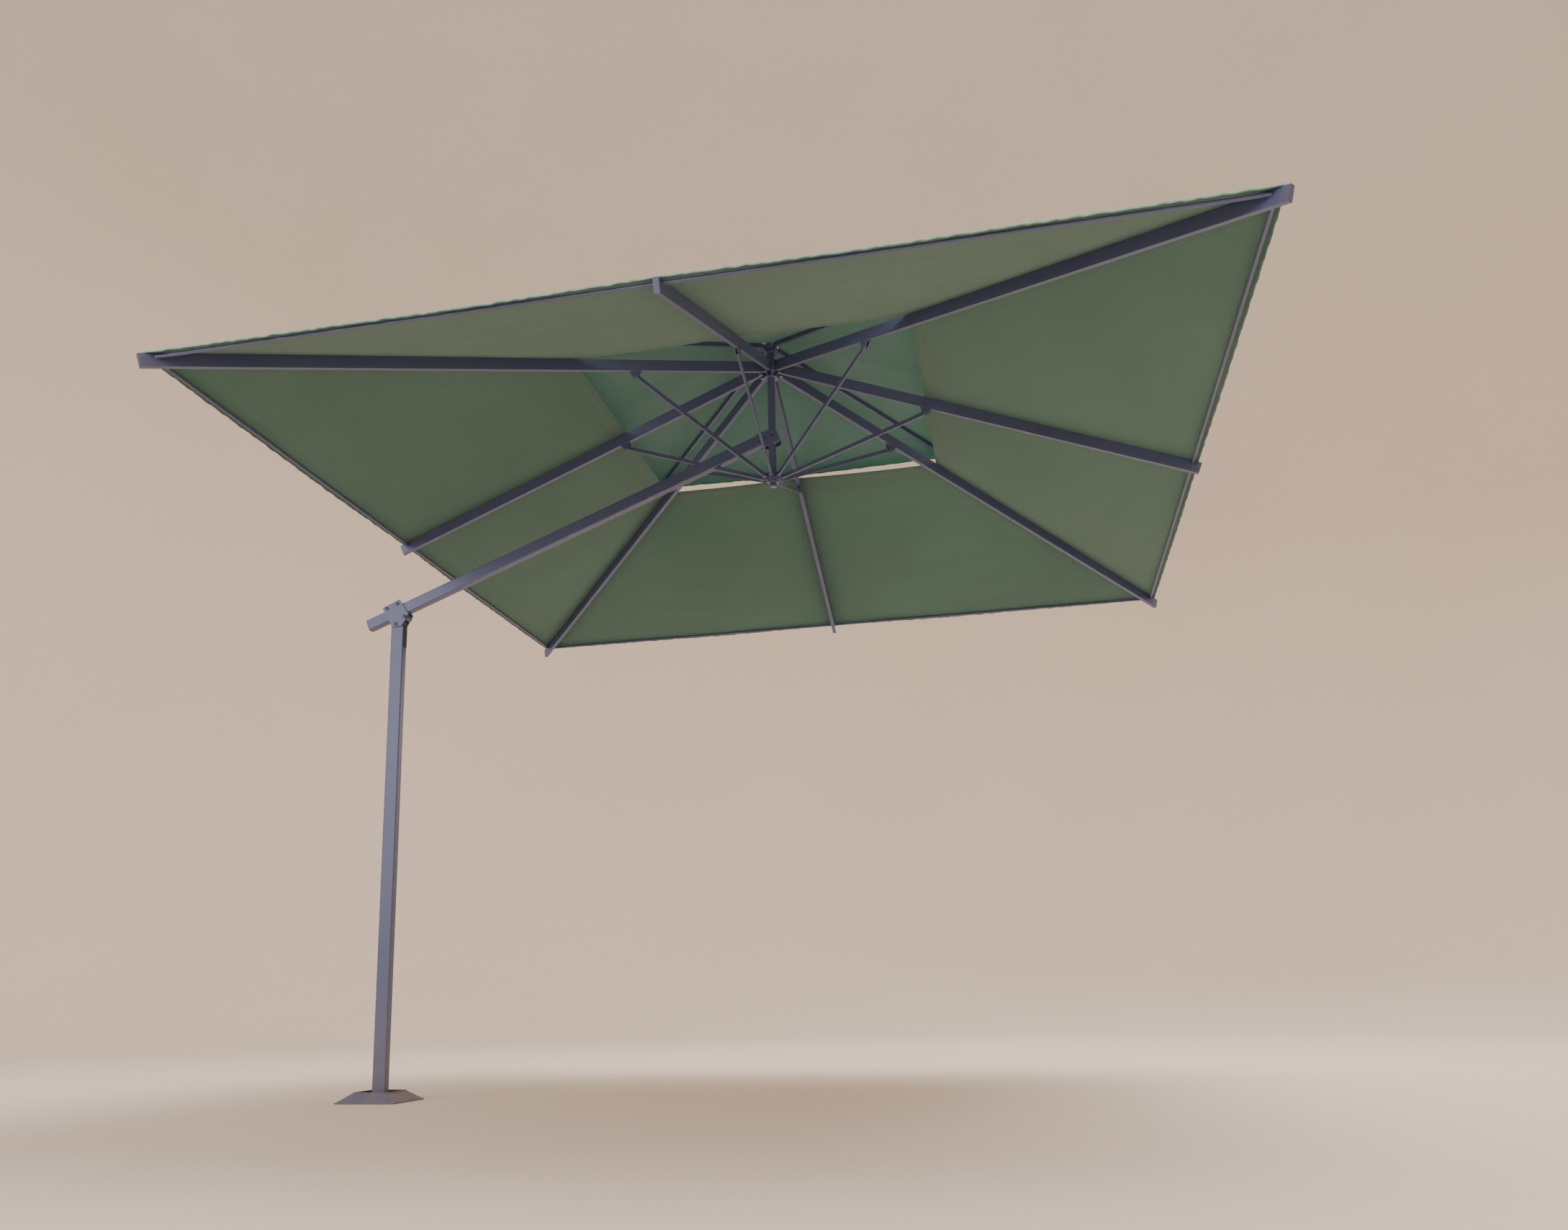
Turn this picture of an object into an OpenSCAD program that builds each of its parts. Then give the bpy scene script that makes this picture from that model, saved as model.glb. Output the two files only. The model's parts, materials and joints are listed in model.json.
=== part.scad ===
// Cantilever parasol: square tilting canopy hung from a sliding arm on a bolted-down mast.
// Millimetres. Origin: middle of the mast's foot, on the ground. +X from the mast to the canopy,
// +Z up. Right is +X, back is +Y.

/* [Base] */
// Side of the square floor plate
base_w = 230; // [200:1:260]
// Thickness of the floor plate
base_t = 6; // [5:0.5:8]
// Distance between the anchor holes
bolt_gap = 160; // [140:1:180]
// Radius of the anchor holes
bolt_hole_r = 6; // [4.5:0.5:8]
// Height of the cover's open rim
cover_h = 38; // [28:1:45]
// Side of the cover's open rim
cover_top_w = 135; // [110:1:150]

/* [Mast] */
// Width of the mast tube along the arm
mast_w = 52; // [48:1:56]
// Depth of the mast tube across the arm
mast_d = 32; // [30:1:34]
// Height of the top of the mast
mast_top = 1815; // [1750:1:1815]
// Wall of the mast tube
mast_wall = 2.5; // [2:0.5:3.5]

/* [Arm] */
// Slope of the arm at rest, degrees above level
arm_slope = 20.43; // [19:0.01:22]
// Depth of the arm tube in the plane of the tilt
arm_h = 44; // [42:1:44]
// Width of the arm tube
arm_w = 32; // [30:1:32]
// Height where the arm's middle line crosses the mast's axis
arm_z0 = 1858; // [1858:1:1862]
// How far the arm's tail stands out behind the mast, along the arm
arm_tail = 136.5; // [120:0.5:200]

/* [Canopy frame] */
// Distance from the mast's axis to the pole's axis
pole_x = 1505.8; // [1505.8:0.1:1506]
// Height of the pole's pivot bolt
pole_pivot_z = 2409; // [2409:0.5:2410]
// Radius of the pole
pole_r = 14; // [13.8:0.1:14]
// Radius of the circle of rib pivots
rib_pivot_r = 40; // [40:0.5:41]
// Height of the rib pivots
rib_pivot_z = 2689; // [2688:0.5:2690]
// Width of a rib tube
rib_w = 16; // [15:0.5:16]
// Height of a rib tube
rib_h = 40; // [38:0.5:40]
// Distance from the pole's axis to a side rib's end, at mid height
side_tip_r = 1504.3; // [1500:0.1:1506]
// Height of a side rib's end, at mid height
side_tip_z = 2113; // [2110:0.5:2116]
// Distance from the pole's axis to a corner rib's end, at mid height
corner_tip_r = 2126.6; // [2121:0.1:2128]
// Height of a corner rib's end, at mid height
corner_tip_z = 2112; // [2110:0.5:2114]

/* [Struts] */
// Distance along a side rib from its pivot to its strut bracket
side_bracket_s = 585.3; // [584:0.1:586]
// Distance along a corner rib from its pivot to its strut bracket
corner_bracket_s = 562.1; // [561:0.1:563]
// Depth of the strut pin below the rib's middle line
strut_pin_h = 38.5; // [38:0.1:39]
// Thickness of a strut bar
strut_w = 8; // [7:0.5:8]
// Depth of a strut bar
strut_d = 14; // [12:0.5:14]
// Radius of the circle of strut pins in the lower hub
hub_pin_r = 38; // [38:0.5:39]
// Height of the strut pins in the lower hub
hub_pin_z = 2252; // [2250:0.5:2253]

/* [Fabric] */
// Half of the canopy's side
canopy_half = 1500; // [1480:1:1502]
// Half of the vent opening's side
vent_hole_half = 575; // [560:1:590]
// Half of the vent top's side
vent_half = 640; // [620:1:650]
// Thickness of the fabric solids
cloth_t = 1.2; // [1:0.1:1.5]

/* [Hidden] */
$fn = 48;
frame_col = [0.42, 0.46, 0.58];
dark_col = [0.30, 0.32, 0.38];
bolt_col = [0.62, 0.64, 0.68];
bush_col = [0.16, 0.16, 0.17];
cloth_col = [0.36, 0.56, 0.48];

gap = 0.1;        // clearance between fixed pieces
run = 0.05;       // radial running clearance
side_gap = 0.3;   // clearance beside a bar held between plates or lugs
lap = 0.1;        // overlap of solids joined into one piece
bolt_r = 4;
pin_r = 2.5;
drill_l = 60;     // length of the cuts across the plates, arm and pole
plug_t = 3.9;     // visible thickness of a tube's end plug

// ---- shared shapes ----
// A polygon, listed anticlockwise, grown by radius with round corners.
module rounded(points, radius) {
  count = len(points);
  polygon(points);
  for (i = [0 : count - 1]) {
    start = points[i];
    end = points[(i + 1) % count];
    along = (end - start) / norm(end - start);
    out = radius * [along[1], -along[0]];
    translate(start) circle(r = radius, $fn = 24);
    polygon([start, start + out, end + out, end]);
  }
}
// Direction, in degrees, of the outward normal of an edge.
function normal_a(edge) = atan2(-edge[0], edge[1]);
// The same outline as one list of points, with a number of steps around each corner.
function round_points(points, radius, steps) = [
  for (i = [0 : len(points) - 1])
    let (count = len(points),
         before = normal_a(points[i] - points[(i + count - 1) % count]),
         after = normal_a(points[(i + 1) % count] - points[i]),
         last = after < before ? after + 360 : after)
      for (j = [0 : steps])
        let (angle = before + (last - before) * j / steps)
          points[i] + radius * [cos(angle), sin(angle)]];
// Section of a rectangular tube, or of its bore or insert when inset from the outside.
module tube_section(width, height, inset = 0) {
  corner_r = inset > 0 ? 1.5 : 4;
  rounded_rect(width - 2 * inset, height - 2 * inset, corner_r);
}
module rounded_rect(width, height, radius) {
  x = width / 2 - radius;
  y = height / 2 - radius;
  rounded([[-x, -y], [x, -y], [x, y], [-x, y]], radius);
}
// A profile in y and z drawn out along +X.
module along_x(length) rotate([90, 0, 90]) linear_extrude(length) children();
// A profile in x and z drawn out along Y.
module slab_y(y_from, y_to)
  translate([0, y_to, 0]) rotate([90, 0, 0]) linear_extrude(y_to - y_from) children();
// The same on one side of y = 0: side is 1 for the back, -1 for the front.
module side_slab(side, inner, outer)
  slab_y(min(side * inner, side * outer), max(side * inner, side * outer)) children();
module rod_y(radius, length, facets = 48)
  rotate([90, 0, 0]) cylinder(r = radius, h = length, center = true, $fn = facets);
// A box over ranges of x and z, even about y = 0.
module box(x, half_y, z)
  translate([x[0], -half_y, z[0]]) cube([x[1] - x[0], 2 * half_y, z[1] - z[0]]);
module square_slab(width, z) box([-width / 2, width / 2], width / 2, z);
// Cylinders and cones on the Z axis. Rows: [bottom z, height, bottom radius, top radius].
module stack(rows, facets = 64)
  for (row = rows)
    translate([0, 0, row[0]]) cylinder(h = row[1], r1 = row[2], r2 = row[3], $fn = facets);

// ---- base ----
plate_w = base_w - 18;
spigot_r = 11;
cover_wall = 3;
cover_lip_h = 5;
cover_rim_t = 2;
module base_plate() color(frame_col) difference() {
  square_slab(plate_w, [0, base_t]);
  for (x = [-1, 1], y = [-1, 1])
    translate([x * bolt_gap / 2, y * bolt_gap / 2, -1]) cylinder(r = bolt_hole_r, h = base_t + 2);
  translate([0, 0, -1]) cylinder(r = spigot_r + gap, h = base_t + 2);
}
module frustum(bottom_w, top_w, z) {
  skin = 0.01;
  hull() {
    square_slab(bottom_w, [z[0], z[0] + skin]);
    square_slab(top_w, [z[1] - skin, z[1]]);
  }
}
// Cover over the floor plate, with a lip around its foot and a thin one around its open rim.
module base_cover() color(frame_col) difference() {
  union() {
    square_slab(base_w, [0, cover_lip_h]);
    frustum(base_w - 8, cover_top_w, [cover_lip_h - lap, cover_h - cover_rim_t + lap]);
    square_slab(cover_top_w + 3, [cover_h - cover_rim_t, cover_h]);
  }
  square_slab(plate_w + 2 * gap, [-1, base_t + gap]);
  frustum(base_w - 22, cover_top_w - 2 * cover_wall, [base_t, cover_h - cover_rim_t]);
  square_slab(cover_top_w - 2 * cover_wall, [base_t, cover_h + 1]);
}
module base_spigot() color(bolt_col) translate([0, 0, 0.5]) cylinder(r = spigot_r, h = 117.5);

// ---- mast ----
foot_bush_z = base_t + 0.4;
foot_collar_t = 2.7;
mast_bottom = foot_bush_z + foot_collar_t + gap;
module mast_section(inset = 0) tube_section(mast_w, mast_d, inset);
module head_pivot_hole() at_arm(head_pivot) rod_y(bolt_r + run, mast_d + 2);
module mast_tube() color(frame_col) difference() {
  translate([0, 0, mast_bottom])
    linear_extrude(mast_top - plug_t - gap - mast_bottom) difference() {
      mast_section();
      mast_section(mast_wall);
    }
  head_pivot_hole();
}
module mast_foot_bush() color(bush_col) difference() {
  translate([0, 0, foot_bush_z]) union() {
    linear_extrude(foot_collar_t) mast_section();
    linear_extrude(105) mast_section(mast_wall + gap);
  }
  translate([0, 0, -1]) cylinder(r = spigot_r + run, h = 140);
}
module mast_top_plug() color(dark_col) difference() {
  union() {
    translate([0, 0, mast_top - plug_t]) linear_extrude(plug_t) mast_section();
    translate([0, 0, mast_top - 34]) linear_extrude(32) mast_section(mast_wall + gap);
  }
  head_pivot_hole();
}

// ---- plates and bolts across the arm ----
plate_t = 5;
plate_y = arm_w / 2 + side_gap;
bolt_half = plate_y + plate_t + gap;
bolt_head_h = 4;
bolt_dome_r = 13;
nut_r = 7.5;
nut_h = 6.5;
// A bolt across the plates, with a domed head at the front and a nut at the back.
module cross_bolt() {
  rotate([90, 0, 0]) {
    translate([0, 0, -bolt_half - 9]) cylinder(r = bolt_r, h = 2 * bolt_half + 9, $fn = 40);
    translate([0, 0, bolt_half]) intersection() {
      cylinder(r = 7, h = bolt_head_h, $fn = 40);
      translate([0, 0, bolt_head_h - bolt_dome_r]) sphere(r = bolt_dome_r);
    }
  }
  translate([0, bolt_half, 0]) rotate([-90, 0, 0]) difference() {
    cylinder(r = nut_r, h = nut_h, $fn = 6);
    translate([0, 0, -1]) cylinder(r = bolt_r + 0.08, h = 9, $fn = 40);
  }
}
module plate(side) side_slab(side, plate_y, plate_y + plate_t) children();

// ---- head: the two plates that tilt on the mast and guide the arm ----
// Places in the arm's frame: [along the arm, square to it], from where it crosses the mast's axis.
head_pivot = [-21.3, -49.7];
sleeve_pos = [20.4, -35.3];
sleeve_r = -sleeve_pos[1] - arm_h / 2 - 0.2;
head_upper = arm_h / 2 + bolt_r + 0.4;   // bolts above the arm
head_holes = [[-37.7, head_upper], [9.8, head_upper], sleeve_pos, head_pivot];
head_outline = [[-50.4, 34], [-39, -51.5], [-5, -63.5], [35.5, -29.5], [20.6, 37.3]];
module arm_frame() translate([0, 0, arm_z0]) rotate([0, -arm_slope, 0]) children();
module at_arm(place) arm_frame() translate([place[0], 0, place[1]]) children();
module head_plates() color(frame_col) for (side = [-1, 1]) difference() {
  arm_frame() plate(side) rounded(head_outline, 3);
  for (hole = head_holes) at_arm(hole) rod_y(bolt_r + gap, drill_l);
}
module head_bolts() color(bolt_col) for (hole = head_holes) at_arm(hole) cross_bolt();
module glide_sleeve() color(bush_col) at_arm(sleeve_pos) difference() {
  rod_y(sleeve_r, arm_w);
  rod_y(bolt_r + gap, arm_w + 2);
}

// ---- arm ----
arm_wall = 2.5;
slot_r = 5.5;
bottom_slot = [1102, 1384];   // ends of the slots, along the arm
top_slot = [1165, 1334];
// The pole's pivot in the arm's frame.
arm_pole = [cos(arm_slope) * pole_x + sin(arm_slope) * (pole_pivot_z - arm_z0),
            -sin(arm_slope) * pole_x + cos(arm_slope) * (pole_pivot_z - arm_z0)];
// Bolts in the arm's frame, from the pole's pivot; the first is the pivot itself.
end_holes = [[0, 0], [-28.7, 5.4], [-48, -3.5]];
// Outline in x and z from the pole's pivot, before rounding.
end_outline = [[-55.5, 9.5], [-60.5, -13], [-46.5, -28.5], [-7.5, -33],
               [24, -21.5], [28.5, -15.5], [16.5, 22], [-11, 25.5]];
module arm_section(inset = 0) tube_section(arm_w, arm_h, inset);
module at_arm_end(place) at_arm(arm_pole + place) children();
module at_pole_pivot() translate([pole_x, 0, pole_pivot_z]) children();
module slot_cut(slot, z) {
  ends = [slot[0] + slot_r, slot[1] - slot_r];
  box(ends, slot_r, z);
  for (x = ends) translate([x, 0, z[0]]) cylinder(r = slot_r, h = z[1] - z[0], $fn = 32);
}
module arm_tube() color(frame_col) difference() {
  arm_frame() translate([-arm_tail + plug_t + gap, 0, 0])
    along_x(arm_pole[0] + arm_tail) difference() {
      arm_section();
      arm_section(arm_wall);
    }
  // End trimmed upright just short of the pole, and hollowed around its pivot.
  box([pole_x - pole_r - 2, pole_x + 60], 30, [pole_pivot_z - 90, pole_pivot_z + 90]);
  at_pole_pivot() rod_y(20.6, drill_l);
  arm_frame() slot_cut(bottom_slot, [-arm_h / 2 - 1, 0]);
  arm_frame() slot_cut(top_slot, [0, arm_h / 2 + 1]);
  for (i = [1, 2]) at_arm_end(end_holes[i]) rod_y(bolt_r + gap, drill_l);
}
module arm_tail_cap() color(dark_col) arm_frame() {
  translate([-arm_tail, 0, 0]) along_x(plug_t) arm_section();
  translate([-arm_tail + 1, 0, 0]) along_x(25) arm_section(arm_wall + gap);
}
module arm_end_plates() color(frame_col) for (side = [-1, 1]) difference() {
  at_pole_pivot() plate(side) polygon(round_points(end_outline, radius = 3.5, steps = 4));
  for (hole = end_holes) at_arm_end(hole) rod_y(bolt_r + gap, drill_l);
}
module arm_end_bolts() color(bolt_col) for (hole = end_holes) at_arm_end(hole) cross_bolt();

// ---- pole ----
// Spokes 0 to 7 run anticlockwise from +X: even ones to the sides, odd ones to the corners.
pole_wall = 2;
pole_bottom = pole_pivot_z - 14;
pole_top = 2786.5;
vent_pivot_r = 22;
vent_pivot_z = 2784;
vent_pin_r = 2;
// Rows: [bottom z, height, bottom radius, top radius].
upper_hub_rows = [[2652.5, 4.3, 27.9, 26.8], [2656.7, 7.4, 30.5, 30.5],
                  [2664, 40, 45, 45], [2703.9, 11, 37, 37]];
pole_cap_rows = [[2772, 23, 27, 27], [2794.9, 3.1, 27, 22], [2758, 15, 17.4, 17.4],
                 [2756.5, 1.1, 27, 27], [2757.5, 3, 27, 24.8]];
module at_pole() translate([pole_x, 0, 0]) children();
module toward(spoke) rotate([0, 0, 45 * spoke]) children();
module at_rib_pivot() translate([rib_pivot_r, 0, rib_pivot_z]) children();
module at_vent_pivot() translate([vent_pivot_r, 0, vent_pivot_z]) children();
module pole_tube() color(frame_col) difference() {
  at_pole() translate([0, 0, pole_bottom]) difference() {
    cylinder(r = pole_r, h = pole_top - pole_bottom);
    translate([0, 0, -1]) cylinder(r = pole_r - pole_wall, h = 2790 - pole_bottom);
  }
  at_pole_pivot() rod_y(bolt_r + run, drill_l);
}
// Hub with a slot and a pin hole for each rib.
module upper_hub() color(dark_col) at_pole() difference() {
  stack(upper_hub_rows);
  translate([0, 0, 2600]) cylinder(r = pole_r + run, h = 200);
  for (spoke = [0 : 7]) toward(spoke) {
    box([19.3, 60], rib_w / 2 + 0.4, [2656.4, rib_pivot_z + rib_h / 2 + 2.6]);
    at_rib_pivot() rod_y(pin_r + run, 26, 32);
  }
}
// Pivot pins of the ribs and of the vent ribs.
module hub_pins() color(bolt_col) at_pole() {
  for (spoke = [0 : 7]) toward(spoke) at_rib_pivot() rod_y(pin_r, 25, 32);
  for (spoke = [1 : 2 : 7]) toward(spoke) at_vent_pivot() rod_y(vent_pin_r, 20, 32);
}
// Cap on the pole's top, slotted for the vent ribs, with a skirt below.
module pole_cap() color(frame_col) at_pole() difference() {
  union() {
    stack(pole_cap_rows);
    translate([0, 0, 2754.5]) difference() {
      cylinder(r = 27, h = 2.1, $fn = 64);
      translate([0, 0, -1]) cylinder(r = 22, h = 4, $fn = 64);
    }
  }
  translate([0, 0, 2700]) cylinder(r = pole_r + run, h = 87);
  for (spoke = [1 : 2 : 7]) toward(spoke) {
    box([16.8, 40], 5.2, [2760.4, 2790.2]);
    at_vent_pivot() rod_y(vent_pin_r + run, 21, 32);
  }
}

// ---- runner: the lower hub, which drops as the canopy closes ----
lower_tube_r = 13.75;
lower_tube_z = 2246.2;
lower_neck_z = 2380;
lower_hub_z = 2240;
hub_lug_r = 7.5;
knob_stem_r = 5;
lug_in = strut_w / 2 + side_gap;   // inner and outer faces of the lugs beside a strut
lug_out = lug_in + 3;
lower_hub_rows = [[lower_hub_z, 26, 25, 25], [2230, 10 + lap, 21, 21]];
knob_rows = [[2214.5, 5, 13.2, 13.2], [2219, 10.9, 12, 12]];
module lower_tube() color(frame_col) at_pole() difference() {
  union() {
    translate([0, 0, lower_tube_z])
      cylinder(r = lower_tube_r, h = pole_bottom - 0.5 - lower_tube_z);
    // Neck that enters the pole.
    translate([0, 0, lower_neck_z])
      cylinder(r = pole_r - pole_wall - gap, h = pole_bottom + 7.5 - lower_neck_z);
  }
  translate([0, 0, lower_hub_z]) cylinder(r = 11, h = pole_bottom + 20 - lower_hub_z);
}
module lower_hub() color(dark_col) at_pole() difference() {
  union() {
    stack(lower_hub_rows);
    for (spoke = [0 : 7]) toward(spoke)
      for (side = [-1, 1]) side_slab(side, lug_in, lug_out) {
        translate([19, hub_pin_z - hub_lug_r]) square([hub_pin_r - 19, 2 * hub_lug_r]);
        translate([hub_pin_r, hub_pin_z]) circle(r = hub_lug_r, $fn = 32);
      }
  }
  translate([0, 0, 2246]) cylinder(r = lower_tube_r + run, h = 40);
  translate([0, 0, 2220]) cylinder(r = knob_stem_r + gap, h = 40, $fn = 32);
  for (spoke = [0 : 7]) toward(spoke) translate([hub_pin_r, 0, hub_pin_z]) rod_y(pin_r, 20, 32);
}
module runner_knob() color(frame_col) at_pole() {
  stack(knob_rows, 48);
  translate([0, 0, 2229]) cylinder(r = knob_stem_r, h = 18, $fn = 32);
}

// ---- ribs ----
rib_wall = 1.8;
rib_corner_r = 1.5;
cap_t = 5;
bore_half_w = rib_w / 2 - rib_wall;
bore_half_h = rib_h / 2 - rib_wall;
// Ribs from pivot to tip: [outward, down].
side_span = [side_tip_r - rib_pivot_r, rib_pivot_z - side_tip_z];
corner_span = [corner_tip_r - rib_pivot_r, rib_pivot_z - corner_tip_z];
side_a = atan(side_span[1] / side_span[0]);
corner_a = atan(corner_span[1] / corner_span[0]);
function is_side(spoke) = spoke % 2 == 0;
function rib_a(spoke) = is_side(spoke) ? side_a : corner_a;
function rib_len(spoke) = norm(is_side(spoke) ? side_span : corner_span);
function bracket_s(spoke) = is_side(spoke) ? side_bracket_s : corner_bracket_s;

// A rib's frame: X along the rib from its pivot.
module at_rib(spoke)
  at_pole() toward(spoke) at_rib_pivot() rotate([0, rib_a(spoke), 0]) children();
// Tube with a round root.
module rib(spoke) color(frame_col) at_rib(spoke) difference() {
  intersection() {
    translate([-rib_h / 2 - 1, 0, 0])
      along_x(rib_len(spoke) - cap_t + rib_h / 2 + 1) rounded_rect(rib_w, rib_h, rib_corner_r);
    slab_y(-rib_w, rib_w) {
      circle(d = rib_h, $fn = 64);
      translate([0, -rib_h / 2 - 1]) square([rib_len(spoke), rib_h + 2]);
    }
  }
  box([-rib_h, rib_len(spoke) + 1], bore_half_w, [-bore_half_h, bore_half_h]);
  rod_y(pin_r + run, rib_w + 2, 32);
}

// ---- rib fittings ----
insert_half_w = bore_half_w - gap;
insert_half_h = bore_half_h - gap;
pin_head_t = 1.4;
module root_bush() difference() {
  slab_y(-insert_half_w, insert_half_w) {
    circle(r = insert_half_h);
    translate([0, -insert_half_h]) square([32, 2 * insert_half_h]);
  }
  rod_y(pin_r + run, rib_w, 32);
}
module end_cap(length) {
  translate([length - cap_t + gap, 0, 0])
    along_x(cap_t - gap) rounded_rect(rib_w, rib_h, rib_corner_r);
  box([length - cap_t - 20, length - 1], insert_half_w, [-insert_half_h, insert_half_h]);
}
// Foot plate under the rib with two lugs.
module strut_bracket() difference() {
  union() {
    box([-22, 22], lug_out, [-rib_h / 2 - 3, -rib_h / 2 - gap]);
    for (side = [-1, 1]) side_slab(side, lug_in, lug_out) {
      polygon([[-20, -rib_h / 2 - 2], [-8.2, -strut_pin_h - 4],
               [8.2, -strut_pin_h - 4], [20, -rib_h / 2 - 2]]);
      translate([0, -strut_pin_h]) circle(r = 9, $fn = 32);
    }
  }
  translate([0, 0, -strut_pin_h]) rod_y(pin_r + run, 20, 32);
}
module bracket_pin() {
  half = lug_out + gap;
  rod_y(pin_r, 2 * half, 32);
  for (side = [-1, 1])
    translate([0, side * (half + pin_head_t / 2), 0]) rod_y(4.2, pin_head_t, 32);
}
module fittings(spoke) {
  color(bush_col) at_rib(spoke) root_bush();
  color(frame_col) at_rib(spoke) end_cap(rib_len(spoke));
  color(dark_col) at_rib(spoke) translate([bracket_s(spoke), 0, 0]) strut_bracket();
  color(bolt_col) at_rib(spoke) translate([bracket_s(spoke), 0, -strut_pin_h]) bracket_pin();
}

// ---- struts ----
// Strut pin on the rib: [distance from the pole's axis, height].
function strut_pin(spoke) =
  [rib_pivot_r + bracket_s(spoke) * cos(rib_a(spoke)) - strut_pin_h * sin(rib_a(spoke)),
   rib_pivot_z - bracket_s(spoke) * sin(rib_a(spoke)) - strut_pin_h * cos(rib_a(spoke))];
// Drawn from the rib's pin down to the lower hub's.
module strut(spoke) {
  pin = strut_pin(spoke);
  span = pin - [hub_pin_r, hub_pin_z];
  length = norm(span);
  color(frame_col) at_pole() toward(spoke) translate([pin[0], 0, pin[1]])
    rotate([0, 180 - atan2(span[1], span[0]), 0]) difference() {
      slab_y(-strut_w / 2, strut_w / 2) {
        translate([0, -strut_d / 2]) square([length, strut_d]);
        for (x = [0, length]) translate([x, 0]) circle(d = strut_d, $fn = 32);
      }
      for (x = [0, length]) translate([x, 0, 0]) rod_y(pin_r + run, 20, 32);
    }
}

// ---- fabric ----
seam = 0.42;         // place of a seam, from 0 at a side rib to 1 at a corner rib
seam_cut = 0.0006;   // each gore stops this far short of the seam
side_lift = 0.6;     // height of the cloth's underside above the ribs
corner_lift = 2.8;
// Height of a rib's top face at a distance from the pole's axis.
function rib_top_z(radius, slope) =
  rib_pivot_z + rib_h / 2 / cos(slope) - (radius - rib_pivot_r) * tan(slope);
// Point on the cloth's underside; share runs from 0 at a side rib to 1 at a corner rib.
function cloth(x, share) =
  [x, share * x, (1 - share) * (rib_top_z(x, side_a) + side_lift)
                 + share * (rib_top_z(x * sqrt(2), corner_a) + corner_lift)];
function swap_xy(point) = [point[1], point[0], point[2]];
function mirror_y(point) = [point[0], -point[1], point[2]];
function side_row(x, share) = [mirror_y(cloth(x, share)), cloth(x, 0), cloth(x, share)];
function corner_row(x, share) = [cloth(x, share), cloth(x, 1), swap_xy(cloth(x, share))];
// A thin solid between an inner and an outer row of points.
module sheet(inner, outer) {
  n = len(inner);
  up = [0, 0, cloth_t];
  points = concat(inner, outer, [for (p = inner) p + up], [for (p = outer) p + up]);
  quads = concat(
    [for (i = [0 : n - 2]) [i, i + 1, n + i + 1, n + i]],
    [for (i = [0 : n - 2]) [2 * n + i, 3 * n + i, 3 * n + i + 1, 2 * n + i + 1]],
    [for (i = [0 : n - 2]) [i, 2 * n + i, 2 * n + i + 1, i + 1]],
    [for (i = [0 : n - 2]) [n + i, n + i + 1, 3 * n + i + 1, 3 * n + i]],
    [[0, n, 3 * n, 2 * n], [n - 1, 3 * n - 1, 4 * n - 1, 2 * n - 1]]);
  polyhedron(points = points,
    faces = [for (q = quads) for (face = [[q[0], q[2], q[1]], [q[0], q[3], q[2]]]) face]);
}
module gore(spoke) color(cloth_col) at_pole()
  if (is_side(spoke)) toward(spoke)
    sheet(side_row(vent_hole_half, seam - seam_cut), side_row(canopy_half, seam - seam_cut));
  else toward(spoke - 1)
    sheet(corner_row(vent_hole_half, seam + seam_cut), corner_row(canopy_half, seam + seam_cut));

// ---- vent top ----
vent_rib_top = 7;      // faces of the vent rib above and below its pivot
vent_rib_bottom = -9;
vent_rib_half = 5;
vent_rib_wall = 1.6;
vent_rim_z = 2550.5;
vent_reach = vent_half * sqrt(2) - vent_pivot_r;
vent_a = atan((vent_pivot_z + vent_rib_top - vent_rim_z) / vent_reach);
vent_len = vent_reach / cos(vent_a) - 10;
vent_seam_gap = 0.2;   // from a vent gore's edge to the seam
// Slim tube, open at its outer end.
module vent_rib(spoke)
  color(frame_col) at_pole() toward(spoke) at_vent_pivot() rotate([0, vent_a, 0]) difference() {
    union() {
      difference() {
        box([15.5, vent_len], vent_rib_half, [vent_rib_bottom, vent_rib_top]);
        box([24, vent_len + 1], vent_rib_half - vent_rib_wall,
            [vent_rib_bottom + vent_rib_wall, vent_rib_top - vent_rib_wall]);
      }
      slab_y(-vent_rib_half, vent_rib_half) {
        circle(r = 5, $fn = 32);
        translate([0, -5]) square([20, 10]);
      }
    }
    rod_y(vent_pin_r + run, 12, 32);
  }
function vent_z(x) = vent_pivot_z + vent_rib_top / cos(vent_a)
                     - (x * sqrt(2) - vent_pivot_r) * tan(vent_a) + 1.9;
function vent_row(x) =
  [[x, vent_seam_gap, vent_z(x)], [x, x, vent_z(x)], [vent_seam_gap, x, vent_z(x)]];
module vent_gore(spoke)
  color(cloth_col) at_pole() toward(spoke - 1) sheet(vent_row(29), vent_row(vent_half));

base_plate();
base_cover();
base_spigot();
mast_tube();
mast_foot_bush();
mast_top_plug();
head_plates();
head_bolts();
glide_sleeve();
arm_tube();
arm_tail_cap();
arm_end_plates();
arm_end_bolts();
pole_tube();
upper_hub();
hub_pins();
pole_cap();
lower_tube();
lower_hub();
runner_knob();
rib(0);  // rib_right
rib(1);  // rib_back_right
rib(2);  // rib_back
rib(3);  // rib_back_left
rib(4);  // rib_left
rib(5);  // rib_front_left
rib(6);  // rib_front
rib(7);  // rib_front_right
fittings(0);  // fittings_right
fittings(1);  // fittings_back_right
fittings(2);  // fittings_back
fittings(3);  // fittings_back_left
fittings(4);  // fittings_left
fittings(5);  // fittings_front_left
fittings(6);  // fittings_front
fittings(7);  // fittings_front_right
strut(0);  // strut_right
strut(1);  // strut_back_right
strut(2);  // strut_back
strut(3);  // strut_back_left
strut(4);  // strut_left
strut(5);  // strut_front_left
strut(6);  // strut_front
strut(7);  // strut_front_right
gore(0);  // gore_right
gore(1);  // gore_back_right
gore(2);  // gore_back
gore(3);  // gore_back_left
gore(4);  // gore_left
gore(5);  // gore_front_left
gore(6);  // gore_front
gore(7);  // gore_front_right
vent_rib(1);  // vent_rib_back_right
vent_rib(3);  // vent_rib_back_left
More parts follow.
